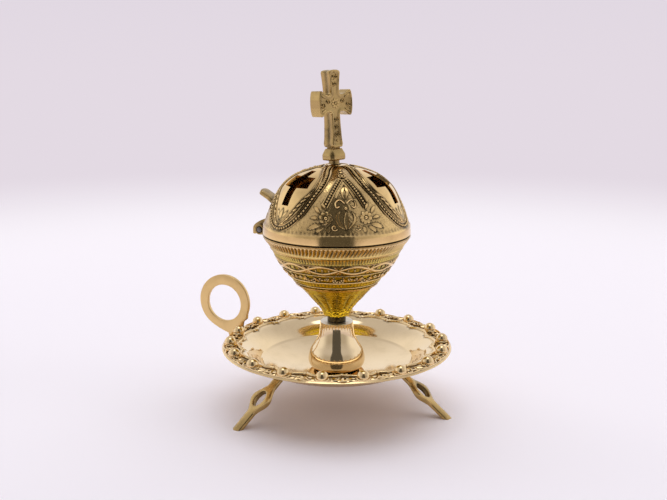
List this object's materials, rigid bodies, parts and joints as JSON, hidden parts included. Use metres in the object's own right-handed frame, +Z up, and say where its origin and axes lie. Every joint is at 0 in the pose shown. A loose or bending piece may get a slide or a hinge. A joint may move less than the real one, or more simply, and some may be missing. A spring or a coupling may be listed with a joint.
{
  "type": "censer",
  "caption": "Footed brass home censer: beaded dish with finger ring, bell pedestal, and a bowl under a hinged, cross-pierced domed lid topped by a cross.",
  "frame": {"origin": "on the table, under the middle of the whole part's box; the censer's own axis stands 9.2 mm toward +X of it", "axes": "+Z up along the censer's axis; -X toward the finger ring and the hinge, which the lid opens over; the hinge pin lies along Y"},
  "size_m": [0.137, 0.114, 0.1663],
  "materials": {
    "polished_brass": "mirror polished, pale gold",
    "chased_brass": "chased relief, bright on the ridges and dark in the recesses",
    "cast_brass": "satin, as cast and filed",
    "steel": "dull grey"
  },
  "bodies": {
    "stand": {"dish": "polished_brass", "leg_right": "cast_brass", "leg_back": "cast_brass", "leg_front": "cast_brass", "finger_ring": "cast_brass", "pedestal": "polished_brass", "tie_screw": "steel", "tie_washer": "steel", "bowl": "chased_brass", "bowl_hinge_lug": "cast_brass", "hinge_pin": "steel"},
    "cover": {"lid": "chased_brass", "lid_hinge_claw": "cast_brass", "thumb_lever": "cast_brass", "cross_finial": "cast_brass", "finial_washer": "steel", "finial_nut": "steel"}
  },
  "joints": [
    {"name": "lid_hinge", "type": "hinge", "parent": "stand", "child": "cover", "pos_m": [-0.031, 0, 0.08748], "axis": [0, -1, 0], "range_deg": [0, 100]}
  ]
}
